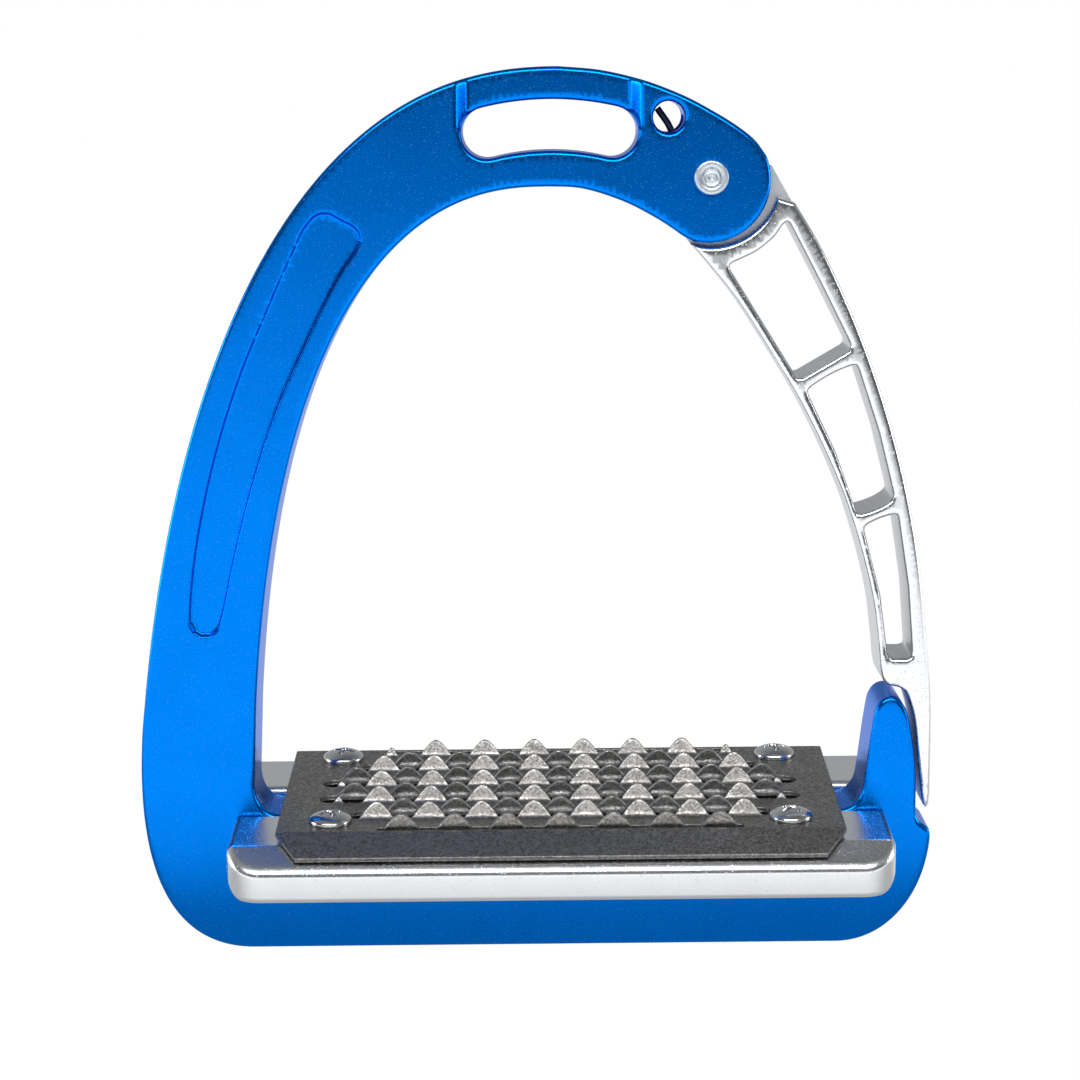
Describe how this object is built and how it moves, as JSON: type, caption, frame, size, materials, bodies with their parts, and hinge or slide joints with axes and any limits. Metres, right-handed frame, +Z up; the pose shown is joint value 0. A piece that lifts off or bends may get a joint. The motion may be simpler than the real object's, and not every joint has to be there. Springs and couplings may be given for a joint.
{
  "type": "stirrup iron",
  "caption": "Safety stirrup iron with a blue frame, a sprung outer arm that swings open on a rivet, a metal footbed and a toothed steel tread plate.",
  "frame": {"origin": "under the middle of the iron's bounding box, on the surface that its flat base stands on", "axes": "+X across the foot towards the opening arm, +Y along the foot towards the rear, +Z up to the leather slot"},
  "size_m": [0.1483, 0.0626, 0.1644],
  "materials": {
    "frame_blue": "blue anodised, satin with a fine sparkle",
    "arm_polish": "tumbled and polished faces, satin walls",
    "rivet_steel": "zinc plated, peened head",
    "bush_bronze": "plain",
    "washer_nylon": "moulded",
    "spring_steel": "black oiled music wire",
    "footbed_satin": "cast and polished to a bright satin",
    "tread_steel": "bead-blasted sheet, brighter on the teeth and cut edges",
    "screw_steel": "polished stainless"
  },
  "bodies": {
    "iron": {"frame": "frame_blue", "pivot_rivet": "rivet_steel", "thrust_washer_front": "washer_nylon", "thrust_washer_rear": "washer_nylon", "closing_spring": "spring_steel", "footbed": "footbed_satin", "tread_plate": "tread_steel", "tread_screw_1": "screw_steel", "tread_screw_2": "screw_steel", "tread_screw_3": "screw_steel", "tread_screw_4": "screw_steel", "base_screw_1": "screw_steel", "base_screw_2": "screw_steel"},
    "arm": {"release_arm": "arm_polish", "pivot_bush": "bush_bronze"}
  },
  "joints": [
    {"name": "arm_release", "type": "hinge", "parent": "iron", "child": "arm", "pos_m": [0.033, 0, 0.1441], "axis": [0, -1, 0], "range_deg": [0, 75], "stiffness_Nm_per_rad": 0.43, "springref_deg": -22.92, "deforming": ["closing_spring"]}
  ]
}
